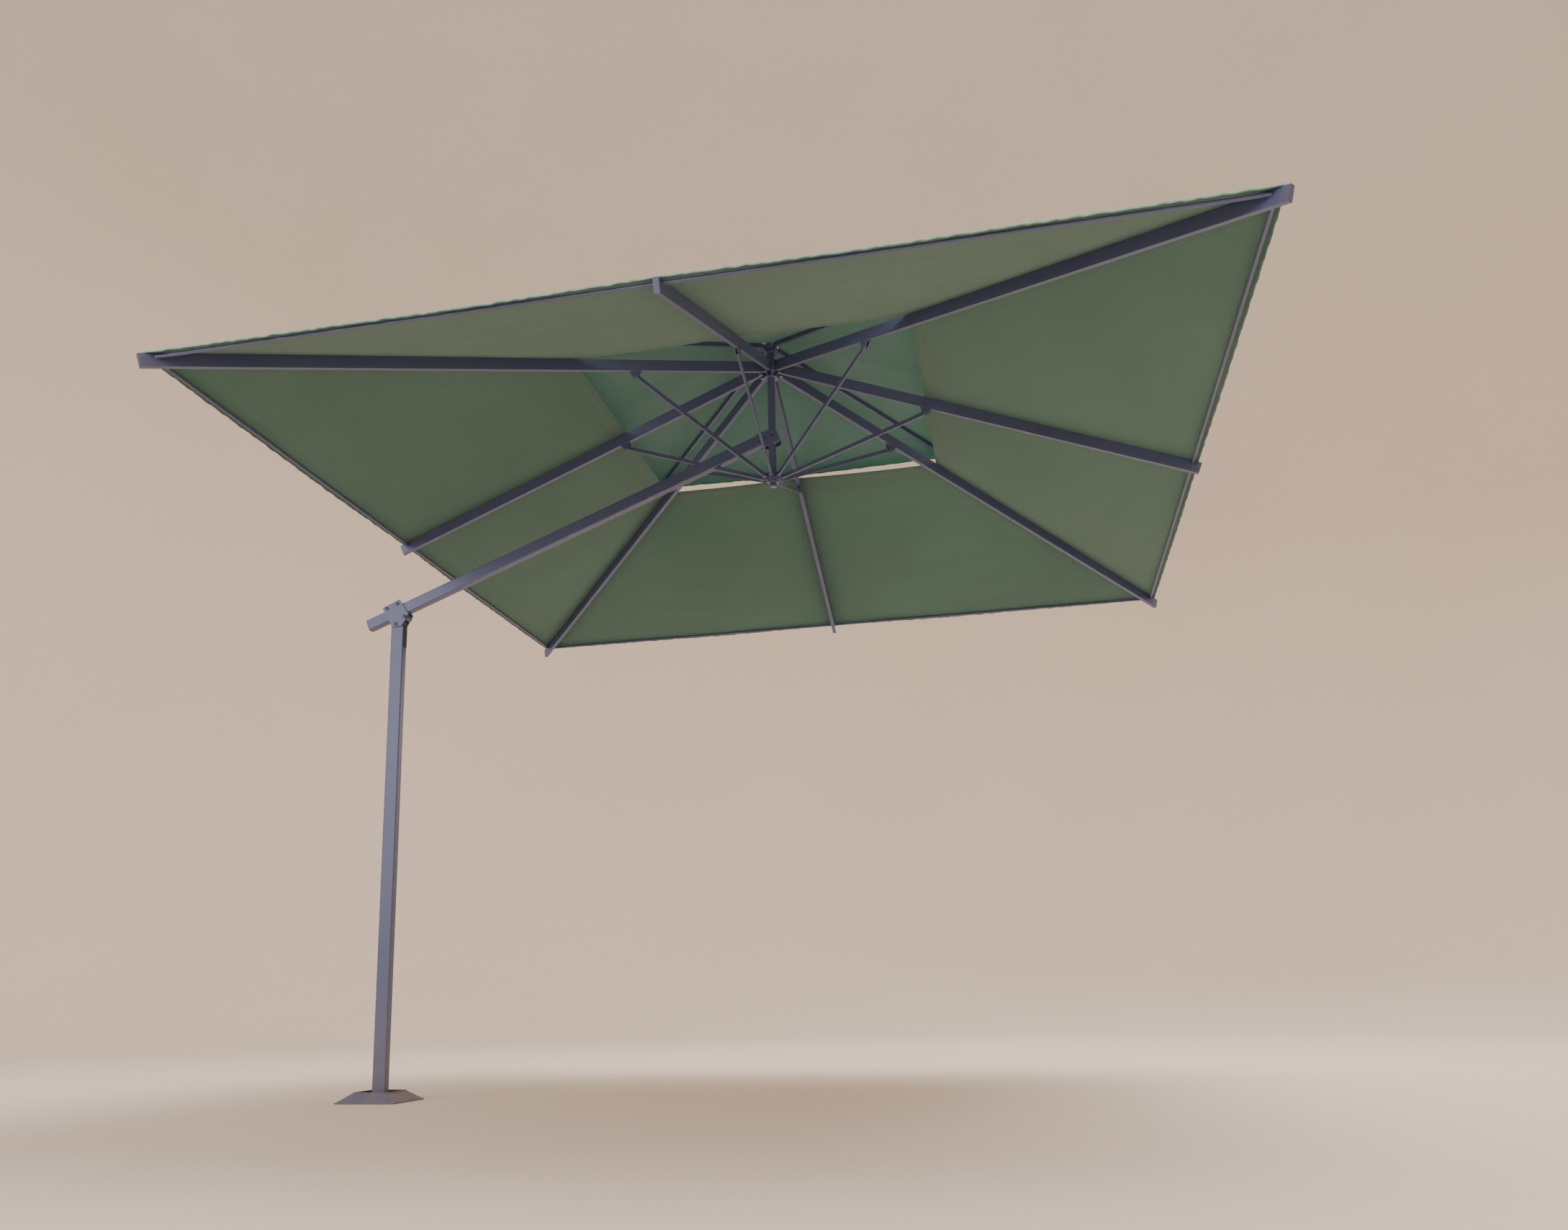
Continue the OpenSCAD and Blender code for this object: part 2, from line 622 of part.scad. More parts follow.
vent_rib(5);  // vent_rib_front_left
vent_rib(7);  // vent_rib_front_right
vent_gore(1);  // vent_gore_back_right
vent_gore(3);  // vent_gore_back_left
vent_gore(5);  // vent_gore_front_left
vent_gore(7);  // vent_gore_front_right
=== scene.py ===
"""A cantilever parasol with a square, double-tier canopy.

Metres, +Z up. The mast stands at the origin, and the arm rises from it towards +X, to the
canopy's pole at x = POLE_X. The canopy's eight directions start at the right (+X) and go
round by the back (+Y). The frame comes from the CAD pieces. This script gives them their
paint and adds the cloth, edge bars, sewing, strut pins and small soft pieces.
"""

import json
import math

import bmesh
import bpy
import numpy as np
from mathutils import Matrix, Vector


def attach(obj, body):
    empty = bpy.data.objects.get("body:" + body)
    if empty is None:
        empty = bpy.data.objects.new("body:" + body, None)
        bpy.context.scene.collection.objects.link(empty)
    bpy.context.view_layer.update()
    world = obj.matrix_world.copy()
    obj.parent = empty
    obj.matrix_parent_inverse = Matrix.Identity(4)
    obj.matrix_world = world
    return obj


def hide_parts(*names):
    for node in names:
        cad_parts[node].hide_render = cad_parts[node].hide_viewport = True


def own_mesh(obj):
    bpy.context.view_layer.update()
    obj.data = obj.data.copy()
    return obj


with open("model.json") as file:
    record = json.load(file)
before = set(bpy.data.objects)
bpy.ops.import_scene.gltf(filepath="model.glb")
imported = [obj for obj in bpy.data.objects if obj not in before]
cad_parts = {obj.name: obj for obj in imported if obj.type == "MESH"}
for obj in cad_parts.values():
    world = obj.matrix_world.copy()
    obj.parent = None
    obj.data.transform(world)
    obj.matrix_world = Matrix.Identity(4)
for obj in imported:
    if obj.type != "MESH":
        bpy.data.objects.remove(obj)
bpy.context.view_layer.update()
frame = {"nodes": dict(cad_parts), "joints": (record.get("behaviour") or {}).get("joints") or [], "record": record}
JOINTS = {joint["name"]: joint for joint in frame["joints"]}
RATIOS = {c["joint"]: c["ratio"] for c in frame["record"]["behaviour"]["couplings"]}
# Even places are the middles of the sides, odd places are the corners.
DIRS = ["right", "back_right", "back", "back_left", "left", "front_left", "front", "front_right"]
FOLD = math.radians(JOINTS["canopy_fold"]["range_deg"][1])
ROOT2 = math.sqrt(2)


# ---------------------------------------------------------------- material helpers
class Graph:
    """A material and short ways to add nodes to it."""

    def __init__(self, name):
        self.mat = bpy.data.materials.new(name)
        self.mat.use_nodes = True
        self.tree = self.mat.node_tree
        self.tree.nodes.clear()
        self.out = self.tree.nodes.new("ShaderNodeOutputMaterial")

    def node(self, kind, inputs=None, **props):
        node = self.tree.nodes.new("ShaderNode" + kind)
        for key, value in props.items():
            setattr(node, key, value)
        for key, value in (inputs or {}).items():
            if isinstance(value, bpy.types.NodeSocket):
                self.tree.links.new(value, node.inputs[key])
            else:
                node.inputs[key].default_value = value
        return node

    def coords(self):
        return self.node("TexCoord").outputs["Object"]

    def stretch(self, vector, scale):
        return self.node("Mapping", {"Vector": vector, "Scale": scale}).outputs["Vector"]

    def math(self, operation, first, second=0.0, third=None, clamp=False):
        inputs = {0: first, 1: second}
        if third is not None:
            inputs[2] = third
        return self.node("Math", inputs, operation=operation, use_clamp=clamp).outputs[0]

    def times(self, value, factor):
        return self.math("MULTIPLY", value, factor)

    def vary(self, value, amount, base):
        """value * amount + base."""
        return self.math("MULTIPLY_ADD", value, amount, base)

    def remap(self, value, start, end):
        """0 at start, 1 at end."""
        inputs = {"Value": value, "From Min": start, "From Max": end}
        return self.node("MapRange", inputs, clamp=True).outputs["Result"]

    def ramp(self, factor, low, high):
        """Greys between two stops, each (position, grey)."""
        ramp = self.node("ValToRGB", {"Fac": factor})
        for element, (position, grey) in zip(ramp.color_ramp.elements, (low, high)):
            element.position = position
            element.color = (grey, grey, grey, 1)
        return ramp.outputs["Color"]

    def mix(self, factor, first, second):
        """Blend of two colours, each a socket or an RGB tuple."""
        inputs = {0: factor}
        for key, colour in ((6, first), (7, second)):
            inputs[key] = (*colour, 1) if isinstance(colour, tuple) else colour
        return self.node("Mix", inputs, data_type="RGBA").outputs[2]

    def noise(self, vector, scale, detail=2.0, rough=0.5):
        inputs = {"Vector": vector, "Scale": scale, "Detail": detail, "Roughness": rough}
        return self.node("TexNoise", inputs).outputs["Fac"]

    def bump(self, height, strength, distance, normal=None):
        inputs = {"Height": height, "Strength": strength, "Distance": distance}
        if normal is not None:
            inputs["Normal"] = normal
        return self.node("Bump", inputs).outputs["Normal"]

    def soft_edges(self, radius):
        """A normal that rounds the edges off."""
        return self.node("Bevel", {"Radius": radius}, samples=4).outputs["Normal"]

    def edge_mask(self, soft):
        """1 along the rounded edges, 0 on flats."""
        flat = self.node("NewGeometry").outputs["Normal"]
        dot = self.node("VectorMath", {0: soft, 1: flat}, operation="DOT_PRODUCT")
        away = self.math("SUBTRACT", 1.0, dot.outputs["Value"])
        return self.remap(away, start=0.012, end=0.09)

    def principled(self, inputs):
        return self.node("BsdfPrincipled", inputs).outputs["BSDF"]

    def finish(self, shader):
        self.tree.links.new(shader, self.out.inputs["Surface"])
        return self.mat


def srgb(*channels):
    """Linear colour from 0-255 sRGB channels."""
    return tuple(
        ((c / 255 + 0.055) / 1.055) ** 2.4 if c / 255 > 0.04045 else c / 255 / 12.92
        for c in channels
    )


def tint(colour, factor, plus=0.0):
    return tuple(min(1, c * factor + plus) for c in colour)


# ---------------------------------------------------------------- materials
def paint(name, base, worn, rough=0.42, peel=0.10, cast=0.0, edge=0.0011):
    """Powder coat: orange peel, uneven satin, lighter worn edges, a little dust and painted warm floor bounce low
    down.

    peel and cast are bump strengths, edge is the edge radius.
    """
    g = Graph(name)
    coords = g.coords()
    broad = g.noise(coords, scale=2.6, detail=3.0, rough=0.55)
    fine = g.noise(coords, scale=950.0, detail=2.0, rough=0.6)
    speck = g.noise(coords, scale=2600.0, detail=1.0)
    broad_tone = g.ramp(broad, low=(0.3, 0.0), high=(0.7, 1.0))
    colour = g.mix(broad_tone, tint(base, 0.93), tint(base, 1.07))
    specks = g.ramp(speck, low=(0.56, 0.0), high=(0.75, 0.35))
    colour = g.mix(specks, colour, tint(base, 1.45, plus=0.01))

    soft = g.soft_edges(edge)
    wear = g.edge_mask(soft)
    patch_noise = g.noise(coords, scale=34.0, detail=4.0, rough=0.65)
    patch = g.ramp(patch_noise, low=(0.42, 0.15), high=(0.62, 1.0))
    colour = g.mix(g.times(g.times(wear, patch), factor=0.5), colour, worn)

    position = g.node("NewGeometry").outputs["Position"]
    height = g.node("SeparateXYZ", {"Vector": position}).outputs["Z"]
    # Lighter, warmer and rougher towards the floor: dust, with painted warm floor bounce.
    near_floor = g.remap(height, start=0.42, end=0.0)
    dust_and_bounce_noise = g.noise(coords, scale=9.0, detail=5.0, rough=0.7)
    dust_and_floor_bounce = g.times(near_floor, g.ramp(dust_and_bounce_noise, low=(0.3, 0.1), high=(0.75, 0.55)))
    colour = g.mix(dust_and_floor_bounce, colour, srgb(150, 138, 126))

    satin = g.vary(fine, amount=0.14, base=rough - 0.07)
    roughness = g.math("ADD", satin, g.times(dust_and_floor_bounce, factor=0.28), clamp=True)
    peel_noise = g.noise(coords, scale=430.0)
    relief = g.vary(peel_noise, amount=1.0, base=g.times(fine, factor=0.5))
    normal = g.bump(relief, strength=peel, distance=0.00035, normal=soft)
    if cast:
        lumps = g.noise(coords, scale=150.0, detail=5.0, rough=0.7)
        normal = g.bump(lumps, strength=cast, distance=0.0012, normal=normal)
    return g.finish(g.principled({
        "Base Color": colour, "Roughness": roughness, "Metallic": 0.12, "Normal": normal,
        "Coat Weight": 0.18, "Coat Roughness": 0.35,
    }))


def brushed_steel(name, base, rough):
    g = Graph(name)
    coords = g.coords()
    stretched = g.stretch(coords, scale=(900.0, 60.0, 900.0))
    lines = g.noise(stretched, scale=1.0, detail=3.0, rough=0.6)
    tone = g.noise(coords, scale=40.0, detail=3.0, rough=0.6)
    soft = g.soft_edges(0.0004)
    return g.finish(g.principled({
        "Base Color": g.mix(tone, tint(base, 0.8), base),
        "Metallic": 0.95,
        "Roughness": g.vary(lines, amount=0.25, base=rough - 0.1),
        "Normal": g.bump(lines, strength=0.12, distance=0.0002, normal=soft),
    }))


def plastic(name, base, rough=0.55, grain=0.16):
    """Moulded plastic with fine pits and lightly rubbed edges."""
    g = Graph(name)
    coords = g.coords()
    voronoi = g.node("TexVoronoi", {"Vector": coords, "Scale": 900.0}, feature="SMOOTH_F1")
    pits = voronoi.outputs["Distance"]
    tone = g.noise(coords, scale=18.0, detail=3.0, rough=0.6)
    colour = g.mix(tone, tint(base, 0.88), tint(base, 1.1))
    soft = g.soft_edges(0.0008)
    rubbed = g.times(g.edge_mask(soft), factor=0.3)
    return g.finish(g.principled({
        "Base Color": g.mix(rubbed, colour, tint(base, 1.8, plus=0.03)),
        "Roughness": g.vary(pits, amount=0.18, base=rough - 0.08),
        "Normal": g.bump(pits, strength=grain, distance=0.00025, normal=soft),
    }))


def woven(name, face, glow, clear=0.30):
    """Plain weave on the UV map in metres, with slubs, soft fading and light through it.

    glow is the colour of the light coming through, clear its share.
    """
    yarn_pitch = 0.0011
    g = Graph(name)
    uv = g.node("UVMap", uv_map="weave").outputs["UV"]
    split = g.node("SeparateXYZ", {"Vector": uv})
    turns = 2 * math.pi / yarn_pitch
    wave_u = g.math("SINE", g.times(split.outputs["X"], turns))
    wave_v = g.math("SINE", g.times(split.outputs["Y"], turns))
    crossing = g.times(wave_u, wave_v)
    yarn = g.math("MAXIMUM", g.math("ABSOLUTE", wave_u), g.math("ABSOLUTE", wave_v))
    weave = g.vary(crossing, amount=0.5, base=yarn)

    warp, weft = (
        g.noise(g.stretch(uv, scale), scale=1.0, rough=0.6)
        for scale in ((1400.0, 26.0, 1.0), (26.0, 1400.0, 1.0))
    )
    slub = g.vary(g.math("ADD", warp, weft), amount=0.5, base=0.0)
    grain = g.noise(g.coords(), scale=240.0, detail=3.0, rough=0.65)
    broad = g.noise(g.coords(), scale=1.7, detail=3.0)
    fading = g.vary(grain, amount=0.36, base=g.times(broad, factor=0.22))
    tone = g.math("ADD", g.times(slub, factor=0.42), fading)
    shade = g.ramp(tone, low=(0.36, 0.0), high=(0.64, 1.0))
    colour = g.mix(shade, tint(face, 0.80), tint(face, 1.20))
    relief = g.vary(grain, amount=0.7, base=weave)
    normal = g.bump(relief, strength=0.22, distance=0.00025)
    surface = g.principled({
        "Base Color": colour, "Roughness": 0.86, "Sheen Weight": 0.18, "Sheen Roughness": 0.5,
        "Specular IOR Level": 0.22, "Normal": normal,
    })
    through = g.mix(shade, tint(glow, 0.85), tint(glow, 1.12))
    light = g.node("BsdfTranslucent", {"Color": through, "Normal": normal}).outputs["BSDF"]
    mixed = g.node("MixShader", {"Fac": clear, 1: surface, 2: light})
    return g.finish(mixed.outputs["Shader"])


def pale_floor():
    g = Graph("pale_floor")
    coords = g.coords()
    broad = g.noise(coords, scale=0.6, detail=3.0)
    grain = g.noise(coords, scale=120.0, detail=3.0)
    return g.finish(g.principled({
        "Base Color": g.mix(broad, srgb(240, 223, 205), srgb(245, 229, 213)),
        "Roughness": 0.9,
        "Specular IOR Level": 0.15,
        "Normal": g.bump(grain, strength=0.03, distance=0.001),
    }))


SLATE = (0.086, 0.101, 0.196)
FRAME_PAINT = paint("slate_powder_coat", SLATE, worn=srgb(176, 182, 198))
# The hubs are the frame's slate lightened: painted light on hubs that sit in shade; their cast texture is their
# own.
HUB_PAINT_LIGHTENED = paint("slate_cast_coat", tint(SLATE, 1.10), worn=srgb(186, 190, 200),
                  rough=0.46, peel=0.12, cast=0.20, edge=0.0010)
# The bolts are the frame's slate darkened: painted shade round their heads.
BOLT_PAINT_SHADED = paint("coated_bolt", tint(SLATE, 0.60), worn=srgb(170, 174, 186),
                   rough=0.30, peel=0.06, edge=0.0005)
STEEL = brushed_steel("brushed_pin", base=(0.50, 0.50, 0.49), rough=0.32)
NYLON = plastic("black_nylon", (0.022, 0.022, 0.024))
MOULDED = plastic("slate_moulded", tint(SLATE, 0.95), rough=0.5)
CLOTH_OUT = woven("sea_green_cloth_outside", face=(0.150, 0.395, 0.300), glow=(0.17, 0.40, 0.30))
# The inside is the outside's sea green darkened: painted shade under the canopy.
CLOTH_IN_SHADED = woven("sea_green_cloth_inside", face=(0.111, 0.188, 0.153),
                 glow=(0.107, 0.262, 0.212), clear=0.26)
# The vent's inside is darker than the outside as painted shade, and lighter and bluer than the main inside as
# painted light through the vent.
VENT_CLOTH_IN_SHADED_LIT = woven("sea_green_vent_inside", face=(0.164, 0.262, 0.236),
                      glow=(0.152, 0.385, 0.348), clear=0.36)
# The rim's lighter mint is a painted highlight on the rolled edge.
RIM_HIGHLIGHT_CLOTH = woven("mint_edge_binding", face=(0.200, 0.560, 0.430), glow=(0.20, 0.56, 0.42),
                clear=0.20)
THREAD = plastic("sewing_thread", srgb(96, 150, 130), rough=0.7, grain=0.3)
BAR_PAINT = paint("edge_bar_paint", tint(SLATE, 0.98), worn=srgb(150, 156, 176),
                  rough=0.5, peel=0.12, edge=0.0006)
# The mast strip's dark green is painted shade from the canopy with a painted green reflection of it.
SHADED_GREEN_STRIP_FINISH = plastic("dark_green_rubber", (0.050, 0.060, 0.044), rough=0.7, grain=0.25)
RIVET_PAINT = paint("coated_rivet", tint(SLATE, 0.72), worn=srgb(150, 154, 168),
                    rough=0.4, peel=0.05, edge=0.0005)


# ---------------------------------------------------------------- mesh helpers
def tidy_mesh(mesh, weld):
    """Turn the faces outwards, after welding points closer than weld if it is given."""
    bm = bmesh.new()
    bm.from_mesh(mesh)
    if weld:
        bmesh.ops.remove_doubles(bm, verts=bm.verts, dist=weld)
    bmesh.ops.recalc_face_normals(bm, faces=bm.faces)
    bm.to_mesh(mesh)
    bm.free()


def new_mesh(name, verts, faces, mats, uvs=None, sharp=None, tidy=False, weld=None):
    """A smooth-shaded object; edges sharper than sharp degrees stay crisp."""
    mesh = bpy.data.meshes.new(name)
    mesh.from_pydata([tuple(v) for v in verts], [], [tuple(f) for f in faces])
    if uvs is not None:
        layer = mesh.uv_layers.new(name="weave")
        loops = np.zeros(len(mesh.loops), np.int32)
        mesh.loops.foreach_get("vertex_index", loops)
        layer.data.foreach_set("uv", np.asarray(uvs, np.float32)[loops].ravel())
    if tidy:
        tidy_mesh(mesh, weld)
    mesh.polygons.foreach_set("use_smooth", [True] * len(mesh.polygons))
    for mat in mats:
        mesh.materials.append(mat)
    mesh.update()
    if sharp is not None:
        mesh.set_sharp_from_angle(angle=math.radians(sharp))
    ob = bpy.data.objects.new(name, mesh)
    bpy.context.scene.collection.objects.link(ob)
    return ob


def ring_faces(rings, count, first=0, flip=False):
    """Quads between neighbouring rings of count points, starting at point first."""
    faces = []
    for i in range(rings - 1):
        for j in range(count):
            a = first + i * count + j
            b = first + i * count + (j + 1) % count
            if flip:
                faces.append((a, a + count, b + count, b))
            else:
                faces.append((a, b, b + count, a + count))
    return faces


def capped_faces(rings, count):
    last = (rings - 1) * count
    caps = [tuple(range(count - 1, -1, -1)), tuple(range(last, last + count))]
    return ring_faces(rings, count) + caps


def join(parts):
    """One (verts, faces) from several."""
    verts, faces, start = [], [], 0
    for part_verts, part_faces in parts:
        verts.append(part_verts)
        faces += [tuple(i + start for i in face) for face in part_faces]
        start += len(part_verts)
    return np.concatenate(verts), faces


# ---------------------------------------------------------------- the frame's own parts
NODE_FINISHES = [
    (FRAME_PAINT, ["base_plate", "base_cover", "mast_tube", "arm_tube", "head_plates",
                   "arm_end_plates", "pole_tube", "pole_cap", "lower_tube", "runner_knob"]),
    (NYLON, ["mast_foot_bush"]),
    (MOULDED, ["mast_top_plug", "arm_tail_cap", "glide_sleeve"]),
    (BOLT_PAINT_SHADED, ["head_bolts", "arm_end_bolts"]),
    (HUB_PAINT_LIGHTENED, ["upper_hub", "lower_hub"]),
    (STEEL, ["base_spigot"]),
    (RIVET_PAINT, ["hub_pins"]),
    (FRAME_PAINT, [part + d for d in DIRS for part in ("rib_", "strut_", "fittings_")]),
    (FRAME_PAINT, ["vent_rib_" + d for d in DIRS[1::2]]),
]
for finish, nodes in NODE_FINISHES:
    for node in nodes:
        node_mats = frame["nodes"][node].data.materials
        node_mats.clear()
        node_mats.append(finish)

# ---------------------------------------------------------------- cloth surfaces
POLE_X = JOINTS["canopy_fold"]["pos_m"][0]
rib_pivot = JOINTS["rib_right_fold"]["pos_m"]
RIB_R, RIB_Z = rib_pivot[0] - POLE_X, rib_pivot[2]  # rib pivots: from the pole's axis, height
vent_pivot = JOINTS["vent_back_right_fold"]["pos_m"]
VENT_R, VENT_Z = math.hypot(vent_pivot[0] - POLE_X, vent_pivot[1]), vent_pivot[2]

HOLE, RIM = 0.575, 1.500  # main cloth: from the pole's axis to its inner and outer edges
VENT_HOLE, VENT_RIM = 0.0272, 0.640  # the same for the vent top
SPLIT = 0.42  # where a side half meets a corner half, as a share from mid-side to corner
TAPE = 0.013  # half width of the tape sewn over a rib
VENT_TAPE = TAPE * 0.8

# Cloth above the pivot, square to the rib, and its clearance above that.
RIB_LIFT, SIDE_GAP, CORNER_GAP = 0.020, 0.0006, 0.0028
VENT_LIFT, VENT_GAP = 0.007, 0.0019
VENT_CORNER_Z = 2.5505

# Downward slopes when open: drop over run.
SIDE_SLOPE = math.atan2(0.576, 1.4643)
CORNER_SLOPE = math.atan2(0.577, 2.0866)
VENT_SLOPE = math.atan2(VENT_Z + VENT_LIFT - VENT_CORNER_Z, VENT_RIM * ROOT2 - VENT_R)

# Waviness along an edge: amount, wavelength, shift per seed, phase.
WAVES = [
    (0.55, 0.083, 1.3, 0.0),
    (0.30, 0.047, 2.1, 0.7),
    (0.35, 0.171, 0.6, 2.0),
]


def rib_top(radius, slope, gap):
    """Height of the cloth over a rib, radius out from the pole's axis."""
    return RIB_Z + RIB_LIFT / math.cos(slope) - (radius - RIB_R) * math.tan(slope) + gap


def taut_z(x, y):
    """Main cloth without sag, straight from the side rib to the corner rib."""
    share = y / x
    side = rib_top(x, SIDE_SLOPE, SIDE_GAP)
    return (1 - share) * side + share * rib_top(x * ROOT2, CORNER_SLOPE, CORNER_GAP)


def fade(value, start, end):
    """Smooth step from 0 at start to 1 at end."""
    s = np.clip((value - start) / (end - start), 0, 1)
    return s * s * (3 - 2 * s)


def wave(y, seed):
    """A calm, fixed waviness along an edge, about 1 at most."""
    return sum(
        amount * np.sin(y * 2 * math.pi / length + shift * seed + phase)
        for amount, length, shift, phase in WAVES
    )


def scallop(y, seed):
    """A slanted ripple along a sewn edge, about every 46 mm."""
    turns = y / 0.046 + 0.35 * np.sin(y * 2 * math.pi / 0.31 + seed)
    part = turns - np.floor(turns)
    rise = 0.78  # the share of each ripple that rises
    return np.where(part < rise, part / rise, (1 - part) / (1 - rise)) - 0.5


def canopy_z(x, y, seed):
    """Underside of the main cloth at x out from the pole, y along the side (0 to x)."""
    share = y / x
    between = np.sin(math.pi * share)
    run = (x - HOLE) / (RIM - HOLE)
    belly = 0.20 + 0.80 * np.sin(math.pi * np.clip(run * 0.92 + 0.02, 0, 1))
    sag = 0.015 * between * belly
    folds = np.sin(x * 2 * math.pi / 0.145 + 9.0 * share)
    pull = 0.0016 * folds * between ** 2 * fade(x, 0.75, 1.2)
    to_rib = np.minimum(y, (x - y) / ROOT2)
    edge = 0.0012 * wave(y, seed) * fade(x, 1.452, 1.497) * fade(to_rib, 0.02, 0.09)
    curl = 0.0023 * scallop(y, seed) * fade(x, 1.484, 1.4985) * fade(to_rib, 0.01, 0.05)
    return taut_z(x, y) - sag + pull + edge + curl


def vent_z(x, y, seed):
    """Underside of the vent top's cloth: y from 0 at mid-side to x at the corner."""
    drop = (x * ROOT2 - VENT_R) * math.tan(VENT_SLOPE)
    taut = VENT_Z + VENT_LIFT / math.cos(VENT_SLOPE) - drop + VENT_GAP
    sag = 0.009 * np.cos(math.pi / 2 * y / x) ** 2 * fade(x, 0.03, 0.4)
    off_rib = fade((x - y) / ROOT2, 0.02, 0.09)
    edge = 0.0012 * wave(y, seed) * fade(x, 0.600, 0.637) * off_rib
    curl = 0.0018 * scallop(y, seed) * fade(x, 0.626, 0.6385) * off_rib
    return taut - sag + edge + curl


class Sheet:
    """A cloth from start to end, out from the pole, with hems, a rolled rim and rib tapes."""

    def __init__(self, height, start, end, steps, inner_hem, outer_hem, tape):
        self.height = height
        self.start, self.end, self.tape = start, end, tape
        self.inner, self.outer = start + inner_hem, end - outer_hem
        # Rows are closer together at the sewn edges.
        self.rows = [start, start + 0.0012, start + inner_hem * 0.5, self.inner]
        self.rows += list(np.linspace(self.inner + 0.001, self.outer - 0.001, steps))
        self.rows += [end - outer_hem * share for share in (1, 0.75, 0.5, 0.25)]
        self.rows += [end - inset for inset in (0.0065, 0.0050, 0.0028, 0.0010, 0)]

    def hem(self, x):
        return 0.0009 * float(x <= self.inner) + 0.0011 * float(x >= self.outer)

    def roll(self, x):
        for inset, thickness in ((0.0002, 0.0004), (0.0012, 0.0016), (0.0052, 0.0021)):
            if x >= self.end - inset:
                return thickness
        return 0.0

    def top(self, x, from_rib):
        """Upper face above the cloth's underside."""
        tape = np.where(from_rib < self.tape, 0.0008, 0.0)
        return 0.0010 + 0.45 * self.hem(x) + self.roll(x) + tape

    def low(self, x, from_rib):
        """Lower face relative to the cloth's underside, flat near the rib."""
        return -(0.55 * self.hem(x) + self.roll(x)) * fade(from_rib, 0.010, 0.022)

    def columns(self, width, count, corner):
        """A function giving y and the distance from the rib, across a half at x.

        width gives the half's width at x. Extra columns hold the tape's edge.
        """
        tape = self.tape
        shares = np.linspace(0, 1, count)[1:]

        def across(x):
            over_tape = [0.0, tape * 0.6, tape - 0.0003, tape + 0.0003]
            beyond = tape + 0.001 + (width(x) - tape - 0.001) * shares
            from_rib = np.concatenate([over_tape, beyond])
            return (x - from_rib * ROOT2 if corner else from_rib), from_rib

        return across


def cloth_mesh(name, sheet, columns, place, inside, seed):
    """A closed sheet over a grid: rows go out along x, columns across."""
    tops, lows, uvs = [], [], []
    for x in sheet.rows:
        y, from_rib = columns(x)
        at_rim = float(fade(x, sheet.end - 0.012, sheet.end))
        edge_x = x + 0.0009 * wave(y, seed + 3) * at_rim * fade(from_rib, 0.01, 0.06)
        z = sheet.height(x, y, seed)
        tops.append(np.column_stack((edge_x, y, z + sheet.top(x, from_rib))))
        lows.append(np.column_stack((edge_x, y, z + sheet.low(x, from_rib))))
        uvs.append(np.column_stack((y, np.full_like(y, x * 1.07))))  # 1.07: length on the slope
    verts = place(np.concatenate(tops + lows))

    rows, across = len(sheet.rows), len(tops[0])
    under = rows * across
    faces, slots = [], []  # slots: 0 outside, 1 inside, 2 rolled rim, its lighter mint a painted highlight
    for i in range(rows - 1):
        # The top of the outer 6.6 mm and the outer edge take the painted rim highlight.
        in_rim_highlight = sheet.rows[i] > sheet.end - 0.0066
        for j in range(across - 1):
            a = i * across + j
            b, c, d = a + 1, a + across + 1, a + across
            faces += [(a, b, c, d), (under + d, under + c, under + b, under + a)]
            slots += [2 if in_rim_highlight else 0, 1]
    for j in range(across - 1):
        a = (rows - 1) * across + j
        faces += [(j + 1, j, under + j, under + j + 1), (a, a + 1, under + a + 1, under + a)]
        slots += [0, 2]
    for i in range(rows - 1):
        a, b = i * across, (i + 1) * across
        faces.append((a, b, under + b, under + a))
        a, b = a + across - 1, b + across - 1
        faces.append((b, a, under + a, under + b))
        slots += [0, 0]
    # A mirrored placement turns the winding over.
    p, q, r = (verts[i] for i in faces[0][:3])
    if np.cross(q - p, r - p)[2] < 0:
        faces = [face[::-1] for face in faces]
    mats = (CLOTH_OUT, inside, RIM_HIGHLIGHT_CLOTH)
    ob = new_mesh(name, verts, faces, mats, uvs=np.concatenate(uvs * 2), sharp=40)
    ob.data.polygons.foreach_set("material_index", slots)
    return ob


def placer(k, sign):
    """From side k's own frame (x out, y along) to the world; sign -1 mirrors y."""
    azimuth = math.radians(45 * k)
    c, s = math.cos(azimuth), math.sin(azimuth)

    def place(points):
        x, y, z = points[:, 0], sign * points[:, 1], points[:, 2]
        return np.stack([POLE_X + c * x - s * y, s * x + c * y, z], 1)

    return place


# ---------------------------------------------------------------- how the cloth closes
# A closing is (direction, anchor, keep): the direction a half flattens along, from where,
# and the share left when shut, so that its free edge meets the next half's.
class Half:
    """The half of a cloth on one side of rib k, and where a seam point lies from its pivot."""

    def __init__(self, k, sign, slope, radius, height, seam):
        azimuth = math.radians(45 * k)
        outward = Vector((math.cos(azimuth), math.sin(azimuth), 0))
        up = Vector((0, 0, 1))
        along = outward * math.cos(slope) - up * math.sin(slope)
        self.across = Vector((-math.sin(azimuth), math.cos(azimuth), 0)) * sign
        self.above = outward * math.sin(slope) + up * math.cos(slope)
        self.pivot = Vector((POLE_X, 0, height)) + outward * radius
        reach = Vector(seam) - self.pivot
        self.run, self.width, self.rise = (
            reach.dot(axis) for axis in (along, self.across, self.above)
        )

    def flatten(self, width, rise, lift):
        """The closing that brings the seam to a new width and rise; lift raises the anchor."""
        move = Vector((self.width - width, self.rise - rise))
        unit = move.normalized()
        direction = self.across * unit.x + self.above * unit.y
        span = self.width * unit.x + (self.rise - lift) * unit.y
        return tuple(direction), tuple(self.pivot + self.above * lift), 1 - move.length / span


def seam_point(place, height, x, y):
    z = float(height(x, np.array([y]), 0)[0])
    return place(np.array([[x, y, z]]))[0]


